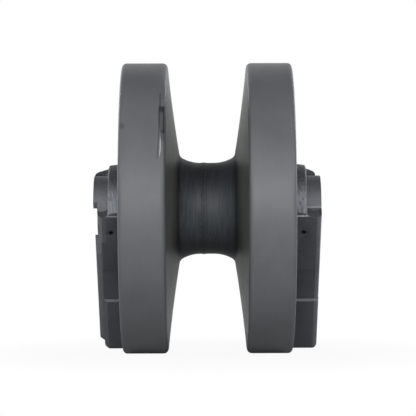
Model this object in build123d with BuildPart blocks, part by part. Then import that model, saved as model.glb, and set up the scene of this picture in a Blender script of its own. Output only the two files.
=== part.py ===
from build123d import *
import os
from math import cos, radians, sin

# Front idler of a small rubber-track undercarriage, in millimetres.
# X runs along the axle, Y to the rear, where the guide blocks lean, and Z is up.
# The origin is the middle of the axle. The idler stands on its two rims and on
# the feet of the blocks. Distances along the axle are measured from the middle
# and are the same on both sides.

# Wheel rims
wheel_radius = 175.0
rim_outer = 101.5
rim_inner = 47.6
rim_thickness = 17.0
rim_draft = 3.0
rim_outer_round = 5.0
rim_inner_round = 6.0
rim_lip_round = 3.0

# Hub and web
waist_radius = 55.0
waist_half_width = 8.0
hub_curve_radius = 45.0
hub_curve_sweep = 34.0
hub_root_round = 8.0
face_bulge = 0.85
web_thickness = 14.0
web_draft = 1.0
web_round = 12.0
boss_draft = 2.0
cavity_step = 4.0

# Weld that joins the two halves round the waist
seam_x = -4.0
weld_half_width = 3.2
weld_depth = 6.0
weld_crown = 1.3

# Axle
axle_radius = 22.5
axle_recess = 6.0
axle_chamfer = 2.0
axle_fit = 0.05

# Flanged bushes
bush_wall = 3.45
bush_length = 40.0
bush_flange = 4.0
bush_flange_height = 5.0
bush_fit = 0.05
bush_lead = 1.0
flange_clearance = 0.3
thrust_clearance = 0.2

# Floating seals
seal_inset = 11.5
seal_film = 0.05
seal_ring_width = 9.0
seal_ring_wall = 5.8
seal_ring_clearance = 1.25
seal_lip_width = 2.6
seal_lip_height = 2.5
seal_back_gap = 1.0
seal_ring_round = 1.0
toric_radius = 2.9
toric_gap = 0.3
housing_wall = 10.5
housing_gap = 2.5
housing_lip_round = 2.0

# Guide block collar and nose
rail_clearance = 3.0
arm_thickness = 31.5
collar_radius = 52.0
collar_draft = 2.2
collar_crown = 0.4
collar_round = 3.0
nose_radius = 39.3
nose_length = 17.5
nose_lip = 7.3
notch_depth = 5.0
notch_start = 24.0
notch_round = 10.0
spigot_wall = 3.4

# Guide block arm
lean_angle = 41.0
rail_half_height = 44.5
rail_front = 26.0
front_hollow = 2.7
shoulder_end = 15.0
shoulder_round = {"left": 15.0, "right": 5.0}  # the left one points up and is dressed rounder
rail_round = 5.0
plain_rib = 6.5
grip_start = 61.0
grip_relief = 0.6
rib_drop = 1.5
rib_width = 6.0
rib_chamfer = 8.2
rib_round = 2.0
foot_start = 110.0
foot_step = 3.1
foot_round = 6.0
toe_length = 9.3
toe_drop = 7.4
toe_round = 3.0
pocket_margin = 30.0
pocket_round = 10.0

# Tapped holes for the track adjuster yoke
yoke_hole_radius = 7.0
yoke_hole_depth = 30.0
yoke_hole_spacing = 50.0

# Lock pins
pin_inset_x = 10.5
pin_radius = 5.0
pin_bore_radius = 2.4
pin_slot = 1.2
pin_fit = 0.05
pin_sink = 0.6

# Rubber rings on the axle
oring_radius = 1.45
oring_margin = 1.0
oring_groove_width = 4.0
oring_groove_depth = 3.0
oring_floor_gap = 0.05

# Oil way in the axle and its plug
oil_way_radius = 3.0
oil_way_wall = 3.95
plug_radius = 5.0
plug_length = 9.0
plug_sink = 1.0
plug_hex = 5.0
plug_hex_depth = 5.0

# Distances along the axle that follow from the sizes above
seal_plane = rim_outer - seal_inset
wheel_housing_end = seal_plane - housing_gap / 2
block_housing_start = seal_plane + housing_gap / 2
bush_face = seal_plane - seal_ring_width - seal_back_gap
bush_shoulder = bush_face - bush_flange
bush_start = bush_shoulder - bush_length
block_housing_floor = seal_plane + seal_ring_width + seal_back_gap
spigot_face = bush_face + thrust_clearance
rail_face = rim_outer + rail_clearance
outer_face = rail_face + arm_thickness
collar_face = outer_face - nose_length
axle_end = outer_face - axle_recess
pin_x = rail_face + pin_inset_x
oring_x = pin_x - pin_radius - oring_margin - oring_groove_width / 2

# Radii that follow
bush_radius = axle_radius + bush_fit
bush_seat_radius = bush_radius + bush_wall
bush_flange_radius = bush_seat_radius + bush_flange_height
cavity_radius = bush_seat_radius + cavity_step
block_bore_radius = axle_radius + axle_fit
spigot_radius = block_bore_radius + spigot_wall
seal_bore_radius = spigot_radius + seal_ring_clearance
seal_seat_radius = seal_bore_radius + seal_ring_wall
seal_lip_radius = seal_seat_radius + seal_lip_height
toric_centre = seal_seat_radius + toric_gap + toric_radius
housing_radius = toric_centre + toric_radius + toric_gap
boss_radius = housing_radius + housing_wall
pin_hole_radius = pin_radius + pin_fit
oil_way_offset = pin_hole_radius + oil_way_wall + oil_way_radius

# Distances along and across the arm that follow
lean = radians(lean_angle)
foot_half_height = rail_half_height + foot_step
foot_end = (wheel_radius - foot_half_height * sin(lean)) / cos(lean)
toe_start = foot_end - toe_length
toe_face = outer_face - toe_drop
rib_face = outer_face - rib_drop
rib_edge = rail_half_height - rib_chamfer
notch_face = outer_face - notch_depth
pocket_end = foot_end - pocket_margin
pocket_low = plain_rib - rail_half_height
pocket_high = rib_edge - rib_width
yoke_hole_x = (rail_face + toe_face) / 2

sides = ((-1, "left"), (1, "right"))
along_arm = Vector(0, sin(lean), -cos(lean))


def turning_plane(side):
    """Plane through the axle's axis: x is the distance from the middle, y the radius."""
    return Plane(origin=(0, 0, 0), x_dir=(side, 0, 0), z_dir=(0, 0, side))


def block_plane(side, x):
    """Plane across the axle at distance x: its x runs down the arm, its y to the ribbed edge."""
    return Plane(origin=(side * x, 0, 0), x_dir=along_arm, z_dir=(side, 0, 0))


def arm_plane(side, u):
    """Plane across the arm at distance u from the axle: x is outward, y to the ribbed edge."""
    return Plane(origin=along_arm * u, x_dir=(side, 0, 0), z_dir=-along_arm)


def plan_plane(side):
    """Plane through the axle and along the arm: x is outward, y runs down the arm."""
    return Plane(origin=(0, 0, 0), x_dir=(side, 0, 0), z_dir=arm_plane(side, 0).y_dir)


def corner(sketch, x, y):
    """The vertex of a sketch nearest to a point of its plane."""
    return sketch.vertices().sort_by_distance((x, y, 0))[0]


def rib_section(side, u, half_height):
    """Section of the arm with a rounded plain edge and a chamfered edge along the rib."""
    with BuildSketch(arm_plane(side, u)) as section:
        with BuildLine():
            Polyline(
                (rail_face, -half_height),
                (outer_face, -half_height),
                (outer_face, 0),
                (rib_face, rib_edge),
                (rib_face + rib_edge - half_height, half_height),
                (rail_face, half_height),
                close=True,
            )
        make_face()
        fillet(corner(section, outer_face, -half_height), radius=rail_round)
        fillet(corner(section, rib_face, rib_edge), radius=rib_round)
    return section.sketch


def shoulder_section(side, u, half_height, plain_round):
    """Section of the arm beside the nose, where the ribbed edge is notched."""
    with BuildSketch(arm_plane(side, u)) as section:
        with BuildLine():
            Polyline(
                (rail_face, -half_height),
                (outer_face, -half_height),
                (outer_face, notch_start),
                (notch_face, notch_start),
                (notch_face, half_height),
                (rail_face, half_height),
                close=True,
            )
        make_face()
        fillet(corner(section, outer_face, -half_height), radius=plain_round)
        fillet(corner(section, notch_face, half_height), radius=notch_round)
    return section.sketch


def end_corner(side, x, radius):
    """Plan of what a rounded corner takes off the end of the foot."""
    with BuildSketch(plan_plane(side)) as trim:
        with Locations((x, foot_end)):
            Rectangle(radius, radius, align=(Align.MAX, Align.MAX))
        with Locations((x - radius, foot_end - radius)):
            Circle(radius, mode=Mode.SUBTRACT)
    return trim.sketch


os.makedirs("parts", exist_ok=True)

# Wheel halves
# Each half is one steel casting: a rim, a dished web and half of the hub.
# The hub is waisted between the rims, where the guide lugs of the track run.
for side, name in sides:
    seam = seam_x * side
    with BuildPart() as wheel_half:
        with BuildSketch(turning_plane(side)) as profile:
            with BuildLine():
                groove_foot = (seam, waist_radius - weld_depth)
                groove = Line(groove_foot, (seam + weld_half_width, waist_radius))
                waist = Line(groove @ 1, (waist_half_width, waist_radius))
                sweep_out = JernArc(waist @ 1, waist % 1, hub_curve_radius, hub_curve_sweep)
                inner_face = SagittaArc(sweep_out @ 1, (rim_inner, wheel_radius), -face_bulge)
                hub_root = inner_face @ 0
                rim_underside = wheel_radius - rim_thickness
                web_top = (rim_inner + web_thickness - web_draft, rim_underside - rim_draft)
                web_foot = (hub_root.X + web_thickness, boss_radius + boss_draft)
                Polyline(
                    inner_face @ 1,
                    (rim_outer, wheel_radius),
                    (rim_outer, rim_underside),
                    web_top,
                    web_foot,
                    (wheel_housing_end, boss_radius),
                    (wheel_housing_end, housing_radius),
                    (bush_face, housing_radius),
                    (bush_face, bush_flange_radius + flange_clearance),
                    (bush_shoulder, bush_flange_radius + flange_clearance),
                    (bush_shoulder, bush_seat_radius),
                    (bush_start, bush_seat_radius),
                    (bush_start, cavity_radius),
                    (seam, cavity_radius),
                    groove_foot,
                )
            make_face()
            fillet(corner(profile, hub_root.X, hub_root.Y), radius=hub_root_round)
            fillet(corner(profile, rim_inner, wheel_radius), radius=rim_inner_round)
            fillet(corner(profile, rim_outer, wheel_radius), radius=rim_outer_round)
            fillet(corner(profile, rim_outer, rim_underside), radius=rim_lip_round)
            fillet(corner(profile, *web_top), radius=web_round)
            fillet(corner(profile, *web_foot), radius=web_round)
            fillet(corner(profile, wheel_housing_end, boss_radius), radius=housing_lip_round)
        revolve(axis=Axis.X)
    wheel_half.part.label = "wheel_half_" + name
    export_step(wheel_half.part, "parts/wheel_half_" + name + ".step")

# Hub weld
# A bead laid round the waist fills the groove between the two halves.
with BuildPart() as hub_weld:
    with BuildSketch(turning_plane(1)):
        with BuildLine():
            bead_left = (seam_x - weld_half_width, waist_radius)
            bead_right = (seam_x + weld_half_width, waist_radius)
            Polyline(bead_left, (seam_x, waist_radius - weld_depth), bead_right)
            ThreePointArc(bead_right, (seam_x, waist_radius + weld_crown), bead_left)
        make_face()
    revolve(axis=Axis.X)
hub_weld.part.label = "hub_weld"
export_step(hub_weld.part, "parts/hub_weld.step")

# Bushes
# Bronze-lined steel bushes pressed into the hub. Their flanges take the side
# load of the blocks.
for side, name in sides:
    with BuildPart() as bush:
        with BuildSketch(turning_plane(side)) as profile:
            with BuildLine():
                Polyline(
                    (bush_start, bush_radius),
                    (bush_start, bush_seat_radius),
                    (bush_shoulder, bush_seat_radius),
                    (bush_shoulder, bush_flange_radius),
                    (bush_face, bush_flange_radius),
                    (bush_face, bush_radius),
                    close=True,
                )
            make_face()
            chamfer(corner(profile, bush_start, bush_seat_radius), length=bush_lead)
            chamfer(corner(profile, bush_face, bush_radius), length=bush_lead)
        revolve(axis=Axis.X)
    bush.part.label = "bush_" + name
    export_step(bush.part, "parts/bush_" + name + ".step")

# Axle
# A turned bar with grooves for two rubber rings, cross holes for the lock pins
# and an oil way drilled off centre, so that it passes beside the right pin.
with BuildPart() as axle:
    with BuildSketch(turning_plane(1)) as profile:
        with BuildLine():
            Polyline(
                (-axle_end, 0),
                (-axle_end, axle_radius),
                (axle_end, axle_radius),
                (axle_end, 0),
                close=True,
            )
        make_face()
        chamfer(corner(profile, -axle_end, axle_radius), length=axle_chamfer)
        chamfer(corner(profile, axle_end, axle_radius), length=axle_chamfer)
        with Locations((-oring_x, axle_radius), (oring_x, axle_radius)):
            Rectangle(oring_groove_width, 2 * oring_groove_depth, mode=Mode.SUBTRACT)
    revolve(axis=Axis.X)
    with BuildSketch(plan_plane(1)):
        with Locations((-pin_x, 0), (pin_x, 0)):
            Circle(pin_hole_radius)
    extrude(amount=axle_radius, both=True, mode=Mode.SUBTRACT)
    with BuildSketch(block_plane(1, axle_end)):
        with Locations((oil_way_offset, 0)):
            Circle(oil_way_radius)
    extrude(amount=-axle_end - oil_way_radius, mode=Mode.SUBTRACT)
    with BuildSketch(block_plane(1, axle_end)):
        with Locations((oil_way_offset, 0)):
            Circle(plug_radius)
    extrude(amount=-plug_sink - plug_length, mode=Mode.SUBTRACT)
    with BuildSketch(Plane(origin=along_arm * oil_way_offset, x_dir=(1, 0, 0), z_dir=along_arm)):
        Circle(oil_way_radius)
    extrude(amount=axle_radius, mode=Mode.SUBTRACT)
axle.part.label = "axle"
export_step(axle.part, "parts/axle.step")

# Oil plug
# A socket plug, sunk just below the right end of the axle.
with BuildPart() as oil_plug:
    with BuildSketch(block_plane(1, axle_end - plug_sink)):
        with Locations((oil_way_offset, 0)):
            Circle(plug_radius)
    extrude(amount=-plug_length)
    with BuildSketch(block_plane(1, axle_end - plug_sink)):
        with Locations((oil_way_offset, 0)):
            RegularPolygon(radius=plug_hex / 2, side_count=6, major_radius=False)
    extrude(amount=-plug_hex_depth, mode=Mode.SUBTRACT)
oil_plug.part.label = "oil_plug"
export_step(oil_plug.part, "parts/oil_plug.step")

# Rubber rings on the axle
# One in each block bore keeps the oil in.
for side, name in sides:
    oring_centre = axle_radius - oring_groove_depth + oring_floor_gap + oring_radius
    with BuildPart() as axle_oring:
        with BuildSketch(turning_plane(side)):
            with Locations((oring_x, oring_centre)):
                Circle(oring_radius)
        revolve(axis=Axis.X)
    axle_oring.part.label = "axle_oring_" + name
    export_step(axle_oring.part, "parts/axle_oring_" + name + ".step")

# Floating seals
# Two equal lapped rings meet in the seal plane on each side. One turns with the
# wheel and one stays with the block, each carried by a rubber ring.
for side, name in sides:
    for place, turn in (("wheel", -1), ("block", 1)):
        lapped_face = seal_plane + turn * seal_film / 2
        lip_back = lapped_face + turn * seal_lip_width
        seat_start = lip_back + turn * seal_lip_height / 2
        back = lapped_face + turn * seal_ring_width
        with BuildPart() as seal_ring:
            with BuildSketch(turning_plane(side)) as profile:
                with BuildLine():
                    Polyline(
                        (lapped_face, seal_bore_radius),
                        (lapped_face, seal_lip_radius),
                        (lip_back, seal_lip_radius),
                        (seat_start, seal_seat_radius),
                        (back, seal_seat_radius),
                        (back, seal_bore_radius),
                        close=True,
                    )
                make_face()
                fillet(corner(profile, back, seal_seat_radius), radius=seal_ring_round)
            revolve(axis=Axis.X)
        seal_ring.part.label = "seal_ring_" + place + "_" + name
        export_step(seal_ring.part, "parts/seal_ring_" + place + "_" + name + ".step")

        with BuildPart() as seal_toric:
            with BuildSketch(turning_plane(side)):
                with Locations(((seat_start + back) / 2, toric_centre)):
                    Circle(toric_radius)
            revolve(axis=Axis.X)
        seal_toric.part.label = "seal_toric_" + place + "_" + name
        export_step(seal_toric.part, "parts/seal_toric_" + place + "_" + name + ".step")

# Guide blocks
# Both are the same casting, the left one turned over. A collar holds the seal,
# a round nose surrounds the axle end, and the arm runs down to the yoke face.
for side, name in sides:
    with BuildPart() as block:
        # Arm, from the shoulder beside the nose down to the foot
        extrude(
            shoulder_section(side, shoulder_end, rail_half_height, shoulder_round[name]),
            amount=shoulder_end + rail_front,
        )
        extrude(rib_section(side, grip_start, rail_half_height), amount=grip_start - shoulder_end)
        extrude(
            rib_section(side, foot_start, rail_half_height - grip_relief),
            amount=foot_start - grip_start,
        )
        extrude(rib_section(side, foot_end, foot_half_height), amount=foot_end - foot_start)

        # Front wall, slightly hollow from the collar to the outer face
        with BuildSketch(plan_plane(side)):
            with BuildLine():
                Line((collar_face, -rail_front), (outer_face, -rail_front))
                ThreePointArc(
                    (outer_face, -rail_front),
                    ((collar_face + outer_face) / 2, front_hollow - rail_front),
                    (collar_face, -rail_front),
                )
            make_face()
        extrude(amount=rail_half_height, both=True, mode=Mode.SUBTRACT)

        # Toe of the foot, set back on the ribbed edge, and the rounded end corners
        with BuildSketch(block_plane(side, outer_face)):
            with Locations((toe_start, 0)):
                Rectangle(toe_length, foot_half_height, align=(Align.MIN, Align.MIN))
        extrude(amount=-toe_drop, mode=Mode.SUBTRACT)
        extrude(end_corner(side, outer_face, foot_round), amount=-foot_half_height, mode=Mode.SUBTRACT)
        extrude(end_corner(side, toe_face, toe_round), amount=foot_half_height, mode=Mode.SUBTRACT)

        # Nose, and the pocket between the ribs that opens round the axle end inside its lip
        with BuildSketch(block_plane(side, collar_face)):
            Circle(nose_radius)
        extrude(amount=notch_face - collar_face)
        with BuildSketch(block_plane(side, notch_face)):
            Circle(nose_radius)
            with Locations((0, notch_start)):
                Rectangle(
                    2 * nose_radius,
                    nose_radius,
                    align=(Align.CENTER, Align.MIN),
                    mode=Mode.SUBTRACT,
                )
        extrude(amount=notch_depth)
        with BuildSketch(block_plane(side, outer_face)) as pocket:
            with Locations((0, pocket_low)):
                Rectangle(pocket_end, pocket_high - pocket_low, align=(Align.MIN, Align.MIN))
            fillet(corner(pocket, pocket_end, pocket_low), radius=pocket_round)
            fillet(corner(pocket, pocket_end, pocket_high), radius=pocket_round)
            Circle(nose_radius - nose_lip)
        extrude(amount=-notch_depth, mode=Mode.SUBTRACT)

        # Collar round the seal housing, cut flush with the guide faces of the arm
        with BuildSketch(turning_plane(side)) as profile:
            with BuildLine():
                SagittaArc(
                    (block_housing_start, collar_radius + collar_draft),
                    (collar_face, collar_radius),
                    collar_crown,
                )
                Polyline(
                    (collar_face, collar_radius),
                    (collar_face, 0),
                    (block_housing_start, 0),
                    (block_housing_start, collar_radius + collar_draft),
                )
            make_face()
            fillet(corner(profile, collar_face, collar_radius), radius=collar_round)
            housing_lip = corner(profile, block_housing_start, collar_radius + collar_draft)
            fillet(housing_lip, radius=housing_lip_round)
        revolve(axis=Axis.X)
        with BuildSketch(block_plane(side, rail_face)):
            Circle(collar_radius + collar_draft)
            Rectangle(4 * collar_radius, 2 * rail_half_height, mode=Mode.SUBTRACT)
        extrude(amount=arm_thickness, mode=Mode.SUBTRACT)
        with BuildSketch(block_plane(side, block_housing_start)):
            Circle(housing_radius)
        extrude(amount=block_housing_floor - block_housing_start, mode=Mode.SUBTRACT)

        # Spigot that bears on the bush flange, and the bore for the axle
        with BuildSketch(block_plane(side, spigot_face)):
            Circle(spigot_radius)
        extrude(amount=block_housing_floor - spigot_face)
        with BuildSketch(block_plane(side, spigot_face)):
            Circle(block_bore_radius)
        extrude(amount=outer_face - spigot_face, mode=Mode.SUBTRACT)

        # Cross hole for the lock pin and tapped holes for the yoke
        with BuildSketch(plan_plane(side)):
            with Locations((pin_x, 0)):
                Circle(pin_hole_radius)
        extrude(amount=rail_half_height, both=True, mode=Mode.SUBTRACT)
        with BuildSketch(arm_plane(side, foot_end)):
            with Locations((yoke_hole_x, 0)):
                with GridLocations(0, yoke_hole_spacing, 1, 2):
                    Circle(yoke_hole_radius)
        extrude(amount=yoke_hole_depth, mode=Mode.SUBTRACT)
    block.part.label = "block_" + name
    export_step(block.part, "parts/block_" + name + ".step")

# Lock pins
# Rolled spring pins, slit along their length, drive through block and axle.
for side, name in sides:
    with BuildPart() as lock_pin:
        with BuildSketch(plan_plane(side)):
            with Locations((pin_x, 0)):
                Circle(pin_radius)
                Circle(pin_bore_radius, mode=Mode.SUBTRACT)
                Rectangle(
                    2 * pin_radius,
                    pin_slot,
                    align=(Align.MIN, Align.CENTER),
                    mode=Mode.SUBTRACT,
                )
        extrude(amount=rail_half_height - pin_sink, both=True)
    lock_pin.part.label = "lock_pin_" + name
    export_step(lock_pin.part, "parts/lock_pin_" + name + ".step")
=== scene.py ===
import math

import bmesh
import bpy
import numpy as np
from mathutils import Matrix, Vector


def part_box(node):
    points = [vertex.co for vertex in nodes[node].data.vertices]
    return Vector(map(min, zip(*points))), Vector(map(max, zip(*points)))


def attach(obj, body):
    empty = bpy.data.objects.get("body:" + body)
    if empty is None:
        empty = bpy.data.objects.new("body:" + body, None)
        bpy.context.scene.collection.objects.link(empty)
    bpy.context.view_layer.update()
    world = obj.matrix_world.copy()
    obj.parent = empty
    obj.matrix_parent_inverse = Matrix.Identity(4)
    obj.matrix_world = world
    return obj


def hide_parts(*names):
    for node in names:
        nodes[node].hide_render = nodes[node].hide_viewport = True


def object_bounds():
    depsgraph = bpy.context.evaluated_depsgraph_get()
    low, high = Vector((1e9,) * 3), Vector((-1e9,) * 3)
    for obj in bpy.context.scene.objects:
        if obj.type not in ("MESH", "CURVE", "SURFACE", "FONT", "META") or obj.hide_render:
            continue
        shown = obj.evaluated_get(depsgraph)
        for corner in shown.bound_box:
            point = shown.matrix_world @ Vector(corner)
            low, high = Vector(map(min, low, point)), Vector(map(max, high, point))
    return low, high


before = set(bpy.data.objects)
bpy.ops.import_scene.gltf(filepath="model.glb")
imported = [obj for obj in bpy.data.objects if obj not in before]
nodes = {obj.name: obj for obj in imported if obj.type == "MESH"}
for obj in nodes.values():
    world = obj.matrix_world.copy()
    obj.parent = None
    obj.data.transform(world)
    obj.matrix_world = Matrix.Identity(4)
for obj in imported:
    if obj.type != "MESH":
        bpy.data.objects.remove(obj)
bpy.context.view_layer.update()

SIDES = ((-1, "left"), (1, "right"))

# Wheel halves: two steel castings, turned on the treads and painted dark grey.
# Each is one ring about the axle, with rim, dished web and half of the waisted hub,
# so it is an outline of (distance along X, radius) points turned through a full circle.
TREAD_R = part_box("wheel_half_right")[1].y
RIM_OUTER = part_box("wheel_half_right")[1].x
SEAM_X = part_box("wheel_half_right")[0].x
RIM_INNER = 0.0476
RIM_THICK = 0.017
RIM_DRAFT = 0.003
INNER_ROUND = 0.006
OUTER_ROUND = 0.005
UNDER_ROUND = 0.003
WAIST_R = 0.055
WAIST_HALF = 0.008
HUB_CURVE = 0.045
HUB_SWEEP = math.radians(34.0)
HUB_ROOT = 0.008
FACE_BULGE = 0.00085
WEB = 0.014
WEB_THINNING = 0.001
WEB_ROUND = 0.012
BOSS_R = 0.0499
BOSS_FLARE = 0.002
BOSS_ROUND = 0.002
BOSS_END = 0.08875
HOUSING_R = 0.0394
HOUSING_ROUND = 0.0006
BUSH_FACE = 0.080
BUSH_SHOULDER = 0.076
BUSH_START = 0.036
FLANGE_R = 0.0313
BUSH_R = 0.026
CAVITY_R = 0.030
LONGEST_RUN = 0.004
WHEEL_TURNS = 320
WHEEL_CREASE = math.radians(40)
WELD_HALF = 0.0032
WELD_DEEP = 0.006


def arc(centre, radius, start, stop, steps):
    """Points on a circle about centre from angle start to angle stop, ends included."""
    angle = np.linspace(start, stop, steps)
    return np.stack([centre[0] + radius * np.cos(angle), centre[1] + radius * np.sin(angle)], 1)


def rounded(corners, steps=9):
    """Outline through corners given as (x, y, radius). A rounded corner becomes an arc that
    touches both sides, its centre at radius / sin(half the corner's angle) from the corner."""
    points = np.array([c[:2] for c in corners], float)
    stretches = []
    for i, (_, _, radius) in enumerate(corners):
        here = points[i]
        if radius == 0:
            stretches.append(here[None])
            continue
        before = points[i - 1] - here
        after = points[(i + 1) % len(points)] - here
        before, after = before / np.linalg.norm(before), after / np.linalg.norm(after)
        half = math.acos(np.clip(before @ after, -1, 1)) / 2
        middle = (before + after) / np.linalg.norm(before + after)
        centre = here + middle * radius / math.sin(half)
        first = here + before * radius / math.tan(half) - centre
        final = here + after * radius / math.tan(half) - centre
        start = math.atan2(first[1], first[0])
        turn = math.atan2(final[1], final[0]) - start
        turn = (turn + math.pi) % (2 * math.pi) - math.pi
        stretches.append(arc(centre, radius, start, start + turn, steps))
    return np.concatenate(stretches)


def denser(outline, step):
    """The same closed outline with its straight runs cut into parts no longer than step."""
    following = np.roll(outline, -1, 0)
    counts = np.ceil(np.linalg.norm(following - outline, axis=1) / step).astype(int)
    runs = zip(outline, following, np.maximum(1, counts))
    return np.concatenate([a + (b - a) * (np.arange(n) / n)[:, None] for a, b, n in runs])


def grid_piece(name, grid):
    """Closed surface of a grid of points, joined round both of its parameters."""
    rows, cols = grid.shape[:2]
    i, j = np.meshgrid(np.arange(rows), np.arange(cols), indexing="ij")
    below, beside = (i + 1) % rows, (j + 1) % cols
    corners = [i * cols + j, below * cols + j, below * cols + beside, i * cols + beside]
    faces = np.stack(corners, 2).reshape(-1, 4)
    p = grid.reshape(-1, 3)[faces]
    inside = np.einsum("ij,ij->i", p[:, 0], np.cross(p[:, 1], p[:, 2])).sum()
    inside += np.einsum("ij,ij->i", p[:, 0], np.cross(p[:, 2], p[:, 3])).sum()
    if inside < 0:
        faces = faces[:, ::-1]
    mesh = bpy.data.meshes.new(name)
    mesh.from_pydata(grid.reshape(-1, 3).tolist(), [], faces.tolist())
    mesh.update()
    mesh.shade_smooth()
    piece = bpy.data.objects.new(name, mesh)
    bpy.context.scene.collection.objects.link(piece)
    return piece


def turned(name, outline, turns):
    """The outline turned about the axle: y = radius cos(angle), z = radius sin(angle)."""
    angle = np.linspace(0, 2 * math.pi, turns, endpoint=False)
    x = np.repeat(outline[:, :1], turns, 1)
    radius = outline[:, 1:]
    return grid_piece(name, np.stack([x, radius * np.cos(angle), radius * np.sin(angle)], 2))


def creased(piece, angle):
    """Marks the edges where the surface turns by more than the angle as sharp."""
    piece.data.set_sharp_from_angle(angle=angle)
    return piece


def hub_and_face(seam):
    """Outline from the weld groove along the waist, up the sweep, round the root and along
    the dished face. The root circle lies inside the sweep's circle and touches the face."""
    sweep_centre = np.array([WAIST_HALF, WAIST_R + HUB_CURVE])
    foot = sweep_centre + HUB_CURVE * np.array([math.sin(HUB_SWEEP), -math.cos(HUB_SWEEP)])
    rim = np.array([RIM_INNER, TREAD_R])
    along = (rim - foot) / np.linalg.norm(rim - foot)
    inward = np.array([-along[1], along[0]])
    offset = foot + HUB_ROOT * inward - sweep_centre
    half_b = offset @ along
    rise = -half_b - math.sqrt(half_b**2 - offset @ offset + (HUB_CURVE - HUB_ROOT) ** 2)
    root_centre = foot + rise * along + HUB_ROOT * inward
    lean = math.atan2(*(root_centre - sweep_centre)[::-1])
    sweep = arc(sweep_centre, HUB_CURVE, -math.pi / 2, lean, 24)
    root = arc(root_centre, HUB_ROOT, lean, math.atan2(-inward[1], -inward[0]), 12)
    share = np.linspace(0, 1, 40)[1:, None]
    start = root[-1]
    face = start + (rim - start) * share - inward * FACE_BULGE * 4 * share * (1 - share)
    groove = np.array([[seam, WAIST_R - WELD_DEEP], [seam + WELD_HALF, WAIST_R]])
    return np.concatenate([groove, sweep, root[1:], face]), foot[0]


def wheel_outline(seam):
    """Closed outline of one half, with the inner face first and the hub's bores last."""
    face, foot_x = hub_and_face(seam)
    under = TREAD_R - RIM_THICK
    web_top = (RIM_INNER + WEB - WEB_THINNING, under - RIM_DRAFT)
    corners = [
        (face[-2][0], face[-2][1], 0),
        (RIM_INNER, TREAD_R, INNER_ROUND),
        (RIM_OUTER, TREAD_R, OUTER_ROUND),
        (RIM_OUTER, under, UNDER_ROUND),
        (*web_top, WEB_ROUND),
        (foot_x + WEB, BOSS_R + BOSS_FLARE, WEB_ROUND),
        (BOSS_END, BOSS_R, BOSS_ROUND),
        (BOSS_END, HOUSING_R, HOUSING_ROUND),
        (BUSH_FACE, HOUSING_R, HOUSING_ROUND),
        (BUSH_FACE, FLANGE_R, 0),
        (BUSH_SHOULDER, FLANGE_R, 0),
        (BUSH_SHOULDER, BUSH_R, 0),
        (BUSH_START, BUSH_R, 0),
        (BUSH_START, CAVITY_R, 0),
        (seam, CAVITY_R, 0),
        (*face[0], 0),
    ]
    rest = rounded(corners)
    keep = face[face[:, 1] < rest[1][1] - 1e-6]
    return denser(np.concatenate([keep, rest[1:-1]]), LONGEST_RUN)


class Wire:
    """A node socket whose Python operators add Math nodes."""

    def __init__(self, tree, socket=None):
        self.tree = tree
        self.socket = socket

    def node(self, kind, settings, values, out=0):
        """Any node: its settings first, then the values or wires of its sockets."""
        made = self.tree.nodes.new(kind)
        for key, value in settings.items():
            setattr(made, key, value)
        for key, value in values.items():
            if isinstance(value, Wire):
                self.tree.links.new(value.socket, made.inputs[key])
            else:
                made.inputs[key].default_value = value
        return Wire(self.tree, made.outputs[out] if made.outputs else None)

    def maths(self, operation, *values):
        """A Math node on the given values or wires."""
        return self.node("ShaderNodeMath", {"operation": operation}, dict(enumerate(values)))

    def __add__(self, other):
        return self.maths("ADD", self, other)

    def __radd__(self, other):
        return self.maths("ADD", other, self)

    def __sub__(self, other):
        return self.maths("SUBTRACT", self, other)

    def __rsub__(self, other):
        return self.maths("SUBTRACT", other, self)

    def __mul__(self, other):
        return self.maths("MULTIPLY", self, other)

    def __rmul__(self, other):
        return self.maths("MULTIPLY", other, self)

    def __pow__(self, other):
        return self.maths("POWER", self, other)

    def without_sign(self):
        """The distance of the value from 0."""
        return self.maths("ABSOLUTE", self)

    def most(self, other):
        """The larger of this wire and a value or wire."""
        return self.maths("MAXIMUM", self, other)

    def least(self, other):
        """The smaller of this wire and a value or wire."""
        return self.maths("MINIMUM", self, other)

    def step(self, low, high):
        """0 at low and below, 1 at high and above, smooth between; low may be the larger."""
        if low > high:
            return 1 - self.step(high, low)
        values = {"Value": self, "From Min": low, "From Max": high}
        return self.node("ShaderNodeMapRange", {"interpolation_type": "SMOOTHSTEP"}, values)

    def mixed(self, a, b):
        """Colour a where this wire is 0 and colour b where it is 1."""
        a, b = [c if isinstance(c, Wire) else (*c, 1) for c in (a, b)]
        return self.node("ShaderNodeMix", {"data_type": "RGBA"}, {0: self, 6: a, 7: b}, 2)

    def scaled(self, gain):
        """A colour times a number."""
        return self.node("ShaderNodeVectorMath", {"operation": "SCALE"}, {0: self, 3: gain})

    def between(self, low, high, soft):
        """1 from low to high, 0 outside them, with edges as wide as soft."""
        return self.step(low - soft, low) * self.step(high + soft, high)

    def noise(self, scale, detail=3.0, rough=0.55):
        """Noise from 0 to 1 over a place; scale is its cells in a metre."""
        values = {"Vector": self, "Scale": scale, "Detail": detail, "Roughness": rough}
        return self.node("ShaderNodeTexNoise", {}, values)

    def parts(self):
        """X, Y and Z of a place."""
        split = self.node("ShaderNodeSeparateXYZ", {}, {"Vector": self})
        return [Wire(self.tree, out) for out in split.socket.node.outputs]

    def joined(self, x, y, z):
        """A place made of three values or wires, in this wire's material."""
        return self.node("ShaderNodeCombineXYZ", {}, {"X": x, "Y": y, "Z": z})


def place_in(name):
    """A new material and the wire of its object's own coordinates."""
    material = bpy.data.materials.new(name)
    material.use_nodes = True
    material.node_tree.nodes.clear()
    return material, Wire(material.node_tree).node("ShaderNodeTexCoord", {}, {}, 3)


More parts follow.
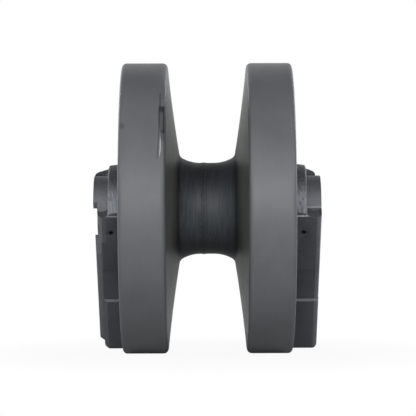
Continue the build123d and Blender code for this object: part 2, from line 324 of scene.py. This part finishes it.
def finish_surface(place, colour, roughness, height, depth, metallic=0.0):
    """One Principled shader; the bump's depth is in metres."""
    bump = place.node("ShaderNodeBump", {}, {"Height": height, "Distance": depth})
    values = {"Base Color": colour, "Roughness": roughness, "Normal": bump}
    values.update({"Metallic": metallic, "Specular IOR Level": GLOSS})
    shader = place.node("ShaderNodeBsdfPrincipled", {}, values)
    place.node("ShaderNodeOutputMaterial", {}, {"Surface": shader})


def dressed(piece, material):
    """Puts one material in place of what the piece had."""
    piece.data.materials.clear()
    piece.data.materials.append(material)
    return piece


GLOSS = 0.4
PAINT_DEPTH = 0.00006
PAINT_DARK = (0.122, 0.125, 0.135)
PAINT_LIGHT = (0.14, 0.143, 0.154)
DISH_DARK = (0.092, 0.089, 0.086)
DISH_LIGHT = (0.104, 0.101, 0.098)
HUB_DARK = (0.062, 0.071, 0.078)
HUB_LIGHT = (0.070, 0.080, 0.088)
BARE_STEEL = (0.42, 0.42, 0.43)
# Where the paint changes over the wheel: a pair is a change's start and end, or the two edges
# of a mark.
HUB_R = (0.085, 0.064)
HUB_X = (0.042, 0.036)
# HUB_SHADE and HUB_MIDDLE_Z place painted shade on the hub above and below its middle.
HUB_SHADE = (0.008, 0.042)
HUB_MIDDLE_Z = -0.004
DISH_FOOT_X = (0.022, 0.034)
DISH_TOP_X = (0.0482, 0.0466)
# RIM_EDGE_X, RIM_EDGE_R and RIM_EDGE_SOFT place painted shade on the rims' inner edges.
RIM_EDGE_X = (0.0468, 0.0490)
RIM_EDGE_R = (TREAD_R - 0.009, TREAD_R - 0.006)
RIM_EDGE_SOFT = 0.0016
TREAD_BAND_R = (TREAD_R - 0.012, TREAD_R - 0.008)
FRONT_Y = (0.0, -0.03)
PIT_LINE_X = (-0.0048, -0.0040)
SPOTS_X = (-0.0079, -0.0069)
PIT_SOFT = 0.0004
SMUDGE_X = -0.0977
SMUDGE_Z = 0.0942
SMUDGE_TIGHT = (220, 240)
# The knock on the left rim, from its top down. HAIR and FADE are how soft its edges are.
HAIR = 0.0006
FADE = 0.003
SCRATCH_X = (-0.0545, -0.0531)
SCRATCH_Z = (0.116, 0.131)
BRUISE_X = (-0.0551, -0.0490)
BRUISE_Z = (0.0875, 0.1155)
BRUISE_SLANT = 0.0016
BRUISE_SLANT_Z = (0.1, 0.086)
DEEP_X = (-0.0504, -0.0494)
DEEP_Z = (0.1085, 0.112)
TAIL_X = (-0.0522, -0.0493)
TAIL_Z = (0.0785, 0.0875)
LINE_X = (-0.0550, -0.0546)
LINE_Z = (0.058, 0.112)
LINE_DRIFT = 0.0013
LINE_DRIFT_Z = (0.090, 0.062)
BARE_X = -0.0531
BARE_Z = (0.0585, 0.0815)
BARE_HALF = 0.0006
BARE_THINNEST = 0.0001
BARE_FOOT_Z = (0.0565, 0.066)
BARE_TIP_Z = (0.0835, 0.074)
BARE_DRIFT = 0.0012
BARE_DRIFT_Z = (0.068, 0.0565)
DARKEST = 0.72


def edge_knock(x, y, z, radius):
    """How far the knocked edge of the left rim darkens the paint, and where it is worn bright.
    The knock runs down the front of the rim: a scratch, a flat dark bruise beside the rounded
    edge, a short tail and a fine line below it, and a sliver of bright metal next to the line."""
    front = y.step(*FRONT_Y) * radius.step(*TREAD_BAND_R)
    scratch = x.between(*SCRATCH_X, HAIR) * z.between(*SCRATCH_Z, FADE)
    slanted = x - BRUISE_SLANT * z.step(*BRUISE_SLANT_Z)
    bruise = slanted.step(BRUISE_X[0] - HAIR, BRUISE_X[0])
    bruise = bruise * x.step(BRUISE_X[1] + HAIR, BRUISE_X[1]) * z.between(*BRUISE_Z, FADE)
    deep = z.step(*DEEP_Z).most(x.step(*DEEP_X))
    tail = x.between(*TAIL_X, HAIR) * z.between(*TAIL_Z, FADE)
    drifted = x + LINE_DRIFT * z.step(*LINE_DRIFT_Z)
    line = drifted.between(*LINE_X, HAIR) * z.between(*LINE_Z, FADE)
    dark = 0.42 * scratch + bruise * (0.34 + 0.34 * deep) + 0.3 * tail + 0.5 * line
    half_width = BARE_THINNEST + BARE_HALF * z.step(*BARE_FOOT_Z) * z.step(*BARE_TIP_Z)
    off_line = (x - BARE_X + BARE_DRIFT * z.step(*BARE_DRIFT_Z)).without_sign()
    bare = (half_width - off_line).step(-0.0002, 0.0003) * z.between(*BARE_Z, 0.0025)
    return (dark * front).least(DARKEST), bare * front


def wheel_paint():
    """Satin dark grey paint. The lathe's marks run round the axle: their noise changes fast
    with X + 0.6 radius and slowly round the wheel. They show most on the hub, which is darker,
    with painted shade above and below its middle, and a pitted line and a row of spots left of
    the weld's middle. The treads are paler than the dished faces, and painted shade darkens the
    rims' inner edges a little."""
    material, place = place_in("wheel_paint")
    x, y, z = place.parts()
    radius = (y * y + z * z) ** 0.5
    distance = x.without_sign()
    marks = place.joined((x + 0.6 * radius) * 14, y, z).noise(45.0, 3.0)
    grain = place.noise(900.0, 2.0)
    patch = place.noise(14.0, 4.0).step(0.3, 0.7)
    hub = radius.step(*HUB_R) * distance.step(*HUB_X)
    # Painted shade above and below the hub's middle.
    hub_painted_shade = hub * (z - HUB_MIDDLE_Z).without_sign().step(*HUB_SHADE)
    dish = distance.step(*DISH_FOOT_X) * distance.step(*DISH_TOP_X)
    # Painted shade along the rims' inner edges.
    rim_edge_painted_shade = radius.step(*RIM_EDGE_R) * distance.between(*RIM_EDGE_X, RIM_EDGE_SOFT)
    tone = dish.mixed(patch.mixed(PAINT_DARK, PAINT_LIGHT), patch.mixed(DISH_DARK, DISH_LIGHT))
    tone = hub.mixed(tone, patch.mixed(HUB_DARK, HUB_LIGHT))
    dark, bare = edge_knock(x, y, z, radius)
    off_smudge = ((x - SMUDGE_X) * SMUDGE_TIGHT[0]) ** 2 + ((z - SMUDGE_Z) * SMUDGE_TIGHT[1]) ** 2
    elsewhere = y.step(-0.05, 0.0) + radius.step(*TREAD_BAND_R[::-1])
    smudge = (off_smudge + 9 * elsewhere).step(1.3, 0.1)
    pit_line = x.between(*PIT_LINE_X, PIT_SOFT) * place.noise(260.0, 3.0).step(0.38, 0.52)
    spots = x.between(*SPOTS_X, PIT_SOFT) * place.noise(330.0, 2.0).step(0.5, 0.58)
    pits = hub * pit_line.most(spots)
    gain = 1 + (marks - 0.5) * (0.16 + 1.25 * hub) - 0.3 * smudge - dark
    gain = gain - 0.5 * pits - 0.22 * rim_edge_painted_shade
    gain = gain * (1 - 0.45 * hub_painted_shade) + 0.08 * (grain - 0.5)
    tone = bare.mixed(tone.scaled(gain), BARE_STEEL)
    roughness = 0.46 + 0.12 * (place.noise(60.0) - 0.5) + 0.14 * (marks - 0.5)
    roughness = roughness + 0.08 * hub - 0.12 * dark
    height = marks * (0.3 + 0.9 * hub) + 0.4 * grain - 2.5 * dark
    finish_surface(place, tone, roughness, height, PAINT_DEPTH)
    return material


wheel_finish = wheel_paint()
for side, name in SIDES:
    outline = wheel_outline(SEAM_X * side)
    half = turned("painted_wheel_" + name, outline * (side, 1), WHEEL_TURNS)
    dressed(creased(half, WHEEL_CREASE), wheel_finish)
    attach(half, "wheel")
    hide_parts("wheel_half_" + name)

# Hub weld: one bead laid round the waist by hand, then dressed nearly flush and painted with
# the wheel. A shallow line is left where its two passes meet, with a pit here and there.
WELD_CROWN = 0.0005
WELD_TURNS = 1180
WELD_CREASE = math.radians(60)
PASS_LINE = 0.22
PASS_WIDE = 0.14
PASS_DEEP = 0.0002
RIPPLES = 118


def weld_bead():
    """Crown height is WELD_CROWN (1 - s^2) over the bead's half-width s, less a narrow dip
    exp(-((s - PASS_LINE) / PASS_WIDE)^2) between the passes, with faint curved ripples."""
    s = np.linspace(-1, 1, 21)[:, None]
    angle = np.linspace(0, 2 * math.pi, WELD_TURNS, endpoint=False)[None]
    pool = np.abs(np.sin(RIPPLES / 2 * (angle - 0.012 * s**2))) ** 0.7
    pits = np.clip(np.sin(31 * angle + 0.4) * np.sin(13 * angle + 1.1), 0, 1) ** 2
    dip = np.exp(-(((s - PASS_LINE - 0.05 * np.sin(9 * angle)) / PASS_WIDE) ** 2))
    crown = WELD_CROWN * (1 - s**2) * (0.8 + 0.2 * pool) - PASS_DEEP * dip * (0.5 + pits)
    x = SEAM_X + WELD_HALF * s * (1 + 0.05 * np.sin(17 * angle))
    radius = WAIST_R - 0.0001 * s**2 + crown
    top = np.stack([x + 0 * radius, radius * np.cos(angle), radius * np.sin(angle)], 2)
    root = WAIST_R - WELD_DEEP
    floor = np.stack([SEAM_X + 0 * angle, root * np.cos(angle), root * np.sin(angle)], 2)
    return grid_piece("weld_bead", np.concatenate([top, floor]))


bead = dressed(creased(weld_bead(), WELD_CREASE), wheel_finish)
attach(bead, "wheel")
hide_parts("hub_weld")

# Bushes, seal rings and their rubber, hidden in the hub: bronze-lined bushes, lapped iron
# rings and black rubber. The metal ones are turned, so each shows fine rings about the axle.
BRONZE = (0.5, 0.31, 0.14)
SEAL_IRON = (0.32, 0.32, 0.33)
RUBBER_DARK = (0.012, 0.012, 0.013)
RUBBER_LIGHT = (0.03, 0.03, 0.031)
LATHE_DEPTH = 0.00003
RUBBER_DEPTH = 0.00005


def turned_metal(name, colour, roughness):
    """Bare turned metal with lathe rings that change with X and the radius only."""
    material, place = place_in(name)
    x, y, z = place.parts()
    radius = (y * y + z * z) ** 0.5
    rings = place.joined(x, radius, 0.0).noise(2400.0, 3.0)
    stain = place.noise(90.0, 4.0)
    dark = tuple(0.72 * c for c in colour)
    tone = stain.step(0.35, 0.7).mixed(colour, dark)
    rough = roughness + 0.12 * (rings - 0.5) + 0.1 * (stain - 0.5)
    finish_surface(place, tone, rough, rings, LATHE_DEPTH, metallic=1.0)
    return material


def black_rubber():
    """Matt moulded rubber with a faint grain."""
    material, place = place_in("black_rubber")
    grain = place.noise(900.0, 4.0)
    tone = grain.step(0.3, 0.75).mixed(RUBBER_DARK, RUBBER_LIGHT)
    finish_surface(place, tone, 0.55 + 0.2 * (grain - 0.5), grain, RUBBER_DEPTH)
    return material


bronze = turned_metal("bush_bronze", BRONZE, 0.34)
seal_iron = turned_metal("seal_iron", SEAL_IRON, 0.25)
rubber = black_rubber()
for side, name in SIDES:
    dressed(nodes["bush_" + name], bronze)
    dressed(nodes["axle_oring_" + name], rubber)
    for holder in ("wheel", "block"):
        dressed(nodes["seal_ring_" + holder + "_" + name], seal_iron)
        dressed(nodes["seal_toric_" + holder + "_" + name], rubber)

# Axle and oil plug: a ground steel bar, its ends sunk in the blocks and held there by the
# lock pins, and a steel socket plug screwed into the oil way in its right end.
AXLE_STEEL = (0.36, 0.36, 0.37)
PLUG_STEEL = (0.24, 0.24, 0.25)
dressed(nodes["axle"], turned_metal("axle_steel", AXLE_STEEL, 0.32))
dressed(nodes["oil_plug"], turned_metal("plug_steel", PLUG_STEEL, 0.4))

# Guide blocks: rough steel castings, machined on the slide faces and the seal housing only,
# all painted the same grey. Each piece is the solid with its edges broken as a casting's are.
# The slit spring pins that lock them to the axle are painted over with them.
EDGE_BREAK = 0.0012
BREAK_ANGLE = math.radians(30)
CAST_DEPTH = 0.0006
CAST_DARK = (0.085, 0.090, 0.101)
CAST_LIGHT = (0.103, 0.108, 0.121)
LEAN = math.radians(41.0)
RAIL_HALF = 0.0445
COLLAR_R = 0.0542
COLLAR_FACE = 0.1185
NOSE_R = 0.0393
RAIL_FRONT = 0.026
GRIP_START = 0.061
FOOT_START = 0.110
PIN_X = 0.115
PIN_BORE_R = 0.0029
# Where the paint changes over a block: a pair is a change's start and end, or the two edges
# of a mark. They lie along the arm, across it, or out from the middle where X is named.
RIGHT_X = (-0.01, 0.01)
RIGHT_ONLY_X = (0.0, 0.01)
# LOW_Z splits painted light low on the collar and nose from painted shade on their tops.
LOW_Z = (0.036, 0.006)
PLANED = (0.058, 0.03)
SLIDE = (RAIL_HALF - 0.0013, RAIL_HALF - 0.0008)
# GROOVE places painted shade and STEP_LINE a painted highlight on the slide faces.
GROOVE = (GRIP_START - 0.0004, GRIP_START + 0.0004)
STEP_LINE = (FOOT_START - 0.0009, FOOT_START + 0.0001)
ROUND_R = (COLLAR_R + 0.0006, COLLAR_R)
COLLAR_END = (COLLAR_FACE + 0.0004, COLLAR_FACE - 0.0002)
DOME_R = (COLLAR_R - 0.0135, COLLAR_R - 0.0115)
DOME_Z = (0.02, 0.03)
DOME_X = (COLLAR_FACE, COLLAR_FACE + 0.001)
# WALL_START, WALL_R, WALL_X and NOSE_FOOT place painted shade on the shoulder's wall.
WALL_START = (0.0032 - RAIL_FRONT, 0.0026 - RAIL_FRONT)
WALL_R = (NOSE_R + 0.0004, NOSE_R + 0.001)
WALL_X = (COLLAR_FACE + 0.0002, COLLAR_FACE + 0.0006)
NOSE_FOOT = (-0.0294, -0.0299)
# RIM_LINE and RIM_LINE_END place a painted highlight on the right nose's lower edge.
RIM_LINE = (-0.0294, -0.0286)
RIM_LINE_END = (-0.02, -0.024)
# The painted highlight along the slide faces' front edge.
EDGE_HIGHLIGHT_ALONG = (-0.0268, -0.0252)
EDGE_HIGHLIGHT_ACROSS = (RAIL_HALF - 0.0022, RAIL_HALF - 0.0012)
EDGE_HIGHLIGHT_STRONG_X = (COLLAR_FACE + 0.001, COLLAR_FACE - 0.003)
# FOOT_RIB_* and ARM_EDGE_* place painted light on the edges of the foot's rib and of the arm.
FOOT_RIB_X = (0.1290, 0.1320)
FOOT_RIB_SIDE = (0.0, -0.03)
FOOT_RIB_START = (FOOT_START - 0.002, FOOT_START + 0.002)
ARM_EDGE_X = (0.1298, 0.1312)
ARM_EDGE_SIDE = (0.02, 0.0)
ARM_EDGE = (-0.023, FOOT_START - 0.002)
ARM_EDGE_SOFT = 0.002
PIN_BORE = (PIN_BORE_R - 0.0003, PIN_BORE_R + 0.0002)
DARKEST_GAIN = 0.02


def block_paint(name, pin=False):
    """Paint over a sand casting, rough and speckled on the collar and nose, which get painted
    light low down and painted shade on their tops; darker on the machined slide faces, with a
    painted highlight along their front edge. A pin's end is painted black inside its bore, as
    painted shade in the open hole. Places are told by the distance along and across the arm."""
    material, place = place_in(name)
    x, y, z = place.parts()
    out = x.without_sign()
    along = y * math.sin(LEAN) - z * math.cos(LEAN)
    across = y * math.cos(LEAN) + z * math.sin(LEAN)
    edge = across.without_sign()
    radius = (y * y + z * z) ** 0.5
    right = x.step(*RIGHT_X)
    low = z.step(*LOW_Z)
    skin = place.noise(420.0, 4.0, 0.65)
    grit = place.noise(1300.0, 2.0)
    streaks = place.joined(x + 0.1 * z, 0.2 * y, 0.2 * z).noise(700.0, 3.0)
    ridges = place.joined(0.12 * x, along, 0.0).noise(760.0, 2.0)

    # Slide faces, with planing ridges, painted shade in the notch's groove and a painted
    # highlight on the step above the foot.
    slide = edge.step(*SLIDE)
    planed = slide * along.step(*PLANED)
    groove = slide * along.between(*GROOVE, HAIR)
    step_painted_highlight = slide * along.between(*STEP_LINE, HAIR)

    # Collar and nose, and the block's domed top over them.
    round_part = radius.step(*ROUND_R) * (1 - slide)
    collar = round_part * out.step(*COLLAR_END)
    nose = round_part * (1 - collar)
    dome = radius.step(*DOME_R) * z.step(*DOME_Z) * out.step(*DOME_X)

    # Painted shade on the shoulder's wall behind the nose and along the nose's foot on the right
    # block, and a painted highlight on that nose's lower edge.
    front = along.step(*WALL_START)
    nose_foot_painted_shade = front * across.step(*NOSE_FOOT) * x.step(*RIGHT_ONLY_X)
    wall = (front * radius.step(*WALL_R)).most(nose_foot_painted_shade) * out.step(*WALL_X) * (1 - slide)
    nose_edge_painted_highlight = nose * across.between(*RIM_LINE, HAIR)
    nose_edge_painted_highlight = nose_edge_painted_highlight * x.step(*RIGHT_ONLY_X) * along.step(*RIM_LINE_END)

    # Painted highlight along the slide faces' front edge, and painted light on the edges of the
    # foot's rib and of the arm.
    painted_edge_highlight = along.between(*EDGE_HIGHLIGHT_ALONG, HAIR) * edge.step(*EDGE_HIGHLIGHT_ACROSS)
    painted_edge_highlight = painted_edge_highlight * (0.55 + 0.9 * out.step(*EDGE_HIGHLIGHT_STRONG_X))
    foot_rib_painted_light = along.step(*FOOT_RIB_START) * across.step(*FOOT_RIB_SIDE) * out.step(*FOOT_RIB_X)
    arm_edge_painted_light = along.between(*ARM_EDGE, ARM_EDGE_SOFT) * across.step(*ARM_EDGE_SIDE)
    arm_edge_painted_light = arm_edge_painted_light * out.step(*ARM_EDGE_X)

    # Brightness, surface by surface.
    # Painted light low on the collar and nose and painted shade on their tops, over rough-cast
    # speckle.
    collar_low_light_and_speckle = 2.0 - 0.5 * right + 6.0 * (streaks - 0.5) + 1.6 * (grit - 0.5)
    collar_top_shade_and_speckle = 1.6 * (skin - 0.5) - 0.15
    gain = 1 + (skin - 0.5) * (0.7 - 0.5 * slide)
    gain = gain + collar * (low * collar_low_light_and_speckle + (1 - low) * collar_top_shade_and_speckle)
    gain = gain + nose * (0.65 * low - 0.12 + 1.1 * (grit - 0.5))
    # Painted shade on the shoulder's wall and the nose's foot, and in the notch's groove.
    gain = gain * (1 - 0.58 * wall) * (1 - 0.28 * groove)
    # Painted highlights along the slide faces' front edge, on the step and on the nose's lower
    # edge.
    gain = gain + painted_edge_highlight * (1 + right) * (1.9 + 7.0 * (skin - 0.45)) + 1.2 * step_painted_highlight
    gain = gain * (1 - 0.08 * slide) + 0.5 * planed * (ridges - 0.5) + nose_edge_painted_highlight
    # Painted light on the edges of the foot's rib and of the arm.
    gain = gain + foot_rib_painted_light * (0.3 + 0.35 * right) + arm_edge_painted_light * (0.06 + 0.5 * right)
    gain = gain + dome * (0.45 + 3.5 * (skin - 0.5))
    if pin:
        # Painted shade: the pin's open bore is painted black.
        off_pin = ((out - PIN_X) ** 2 + along * along) ** 0.5
        gain = gain * (0.04 + 0.96 * off_pin.step(*PIN_BORE))
    cloud = place.noise(30.0, 4.0).step(0.3, 0.7)
    tone = cloud.mixed(CAST_DARK, CAST_LIGHT).scaled(gain.most(DARKEST_GAIN))
    roughness = 0.5 + 0.16 * (skin - 0.5) - 0.06 * slide
    height = (skin + 0.35 * grit) * (1 - 0.75 * slide)
    height = height + 0.9 * collar * streaks + 0.5 * planed * ridges
    finish_surface(place, tone, roughness, height, CAST_DEPTH)
    return material


def merged_copy(node, name):
    """A copy of a solid's mesh with its loose triangles joined and flat faces made whole."""
    mesh = nodes[node].data.copy()
    mesh.name = name
    work = bmesh.new()
    work.from_mesh(mesh)
    bmesh.ops.remove_doubles(work, verts=work.verts, dist=1e-6)
    flat = math.radians(0.5)
    bmesh.ops.dissolve_limit(work, angle_limit=flat, verts=work.verts, edges=work.edges)
    work.to_mesh(mesh)
    work.free()
    piece = bpy.data.objects.new(name, mesh)
    bpy.context.scene.collection.objects.link(piece)
    return piece


def broken_edges(piece, width, angle):
    """Rounds the edges where the surface turns by more than the angle."""
    piece.data.shade_smooth()
    bevel = piece.modifiers.new("edges", "BEVEL")
    bevel.width = width
    bevel.segments = 3
    bevel.limit_method = "ANGLE"
    bevel.angle_limit = angle
    bevel.harden_normals = True
    bevel.use_clamp_overlap = True
    return piece


block_finish = block_paint("block_paint")
pin_finish = block_paint("pin_paint", pin=True)
for side, name in SIDES:
    block = merged_copy("block_" + name, "cast_block_" + name)
    broken_edges(block, EDGE_BREAK, BREAK_ANGLE)
    dressed(block, block_finish)
    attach(block, "frame")
    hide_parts("block_" + name)
    dressed(nodes["lock_pin_" + name], pin_finish)

# Floor and light: one pale paper sweep, flat under the object and curved up to a wall far
# behind it, white to the camera and in far reflections. Soft lamps stand in front, at both
# sides and behind, and the room beyond them is dark.
FLOOR_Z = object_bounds()[0].z
SWEEP_BACK = 4.0
SWEEP_ROUND = 1.2
SWEEP_TOP = 4.5
SWEEP_WIDE = 9.0
SWEEP_FRONT = 9.0
PAPER = (0.48, 0.48, 0.48, 1)
WHITE = (1, 1, 1, 1)
ROOM_LIGHT = 0.01
LAMP_DISTANCE = 3.2
# Name, azimuth and elevation in degrees, width and height in metres, power in watts.
LAMPS = (
    ("front_low", 0, 10, 0.9, 0.6, 35.0),
    ("front_high", 0, 30, 1.0, 1.0, 12.0),
    ("side_right", 50, 22, 1.1, 1.1, 33.0),
    ("side_left", -50, 22, 1.1, 1.1, 32.0),
    ("rear_right", 135, 16, 1.3, 1.3, 22.0),
    ("rear_left", -135, 16, 1.3, 1.3, 22.0),
)


def paper_sweep():
    """Sheet of rows along X: the profile runs from the front over the floor, round a quarter
    circle (y = back - round + round sin t, z = floor + round - round cos t) and up the wall."""
    t = np.linspace(0, math.pi / 2, 17)
    y = SWEEP_BACK - SWEEP_ROUND + SWEEP_ROUND * np.sin(t)
    z = FLOOR_Z + SWEEP_ROUND - SWEEP_ROUND * np.cos(t)
    y = np.concatenate([[-SWEEP_FRONT], y, [SWEEP_BACK]])
    z = np.concatenate([[FLOOR_Z], z, [SWEEP_TOP]])
    x = np.array([-SWEEP_WIDE, SWEEP_WIDE])[None]
    points = np.stack(np.broadcast_arrays(x, y[:, None], z[:, None]), 2).reshape(-1, 3)
    i = np.arange(len(y) - 1)[:, None] * 2
    mesh = bpy.data.meshes.new("paper_sweep")
    mesh.from_pydata(points.tolist(), [], (i + np.array([[0, 1, 3, 2]])).tolist())
    mesh.shade_smooth()
    sweep = bpy.data.objects.new("paper_sweep", mesh)
    bpy.context.scene.collection.objects.link(sweep)
    return sweep


def white_paper():
    """White where the camera or glass sees it, but for a little of the lit paper and its shadow
    close to the object. Reflections see white behind the object and far off, and elsewhere
    the paper as the lamps leave it."""
    material, place = place_in("white_paper")
    away = place.node("ShaderNodeVectorMath", {"operation": "LENGTH"}, {0: place}, 1)
    rays = place.node("ShaderNodeLightPath", {}, {}).socket.node.outputs
    camera_ray = Wire(place.tree, rays["Is Camera Ray"])
    mirror_ray = Wire(place.tree, rays["Is Glossy Ray"])
    glass_ray = Wire(place.tree, rays["Is Transmission Ray"])
    seen = (camera_ray + glass_ray) * (1 - 0.06 * away.step(0.42, 0.2))
    behind = place.parts()[1].step(0.02, 0.35) * 0.9
    seen = seen + mirror_ray * (0.06 + 0.94 * behind.most(away.step(0.9, 2.4)))
    paper = place.node("ShaderNodeBsdfDiffuse", {}, {"Color": PAPER})
    white = place.node("ShaderNodeEmission", {}, {"Color": WHITE, "Strength": 1.0})
    both = {0: seen.least(1.0), 1: paper, 2: white}
    shader = place.node("ShaderNodeMixShader", {}, both)
    place.node("ShaderNodeOutputMaterial", {}, {"Surface": shader})
    return material


sweep = dressed(paper_sweep(), white_paper())

world = bpy.data.worlds.new("room")
bpy.context.scene.world = world
world.use_nodes = True
world.node_tree.nodes.clear()
room = Wire(world.node_tree)
rays = room.node("ShaderNodeLightPath", {}, {}).socket.node.outputs
seen = Wire(room.tree, rays["Is Camera Ray"]) + Wire(room.tree, rays["Is Transmission Ray"])
dim = room.node("ShaderNodeBackground", {}, {"Color": WHITE, "Strength": ROOM_LIGHT})
white = room.node("ShaderNodeBackground", {}, {"Color": WHITE, "Strength": 1.0})
both = room.node("ShaderNodeMixShader", {}, {0: seen.least(1.0), 1: dim, 2: white})
room.node("ShaderNodeOutputWorld", {}, {"Surface": both})


def lamp(name, azimuth, elevation, width, height, power):
    """A soft rectangle facing the axle; azimuth 0 is the camera's side, 90 the right."""
    data = bpy.data.lights.new(name, "AREA")
    data.shape = "RECTANGLE"
    data.size = width
    data.size_y = height
    data.energy = power
    made = bpy.data.objects.new(name, data)
    bpy.context.scene.collection.objects.link(made)
    a, e = math.radians(azimuth), math.radians(elevation)
    towards = Vector((math.sin(a) * math.cos(e), -math.cos(a) * math.cos(e), math.sin(e)))
    made.location = towards * LAMP_DISTANCE
    made.rotation_euler = towards.to_track_quat("Z", "Y").to_euler()


for settings in LAMPS:
    lamp(*settings)

# Camera: level with the axle and 2.54 m in front of it, with a long lens and a slight roll.
# The axle's middle falls on AXLE_PIXEL, where one pixel is PIXEL_AT_AXLE metres wide.
AXLE_PIXEL = (207.3, 208.3)
FRAME_PIXELS = 416
PIXEL_AT_AXLE = 0.001209
DISTANCE = 2.54
SENSOR = 36.0
ROLL = math.radians(0.2)

camera_data = bpy.data.cameras.new("camera")
camera_data.sensor_width = SENSOR
camera_data.lens = SENSOR * DISTANCE / (PIXEL_AT_AXLE * FRAME_PIXELS)
camera_data.shift_x = (FRAME_PIXELS / 2 - AXLE_PIXEL[0]) / FRAME_PIXELS
camera_data.shift_y = (AXLE_PIXEL[1] - FRAME_PIXELS / 2) / FRAME_PIXELS
camera = bpy.data.objects.new("camera", camera_data)
bpy.context.scene.collection.objects.link(camera)
camera.location = (0, -DISTANCE, 0)
camera.rotation_euler = (math.pi / 2, ROLL, 0)
bpy.context.scene.camera = camera
bpy.context.scene.view_settings.view_transform = "Standard"
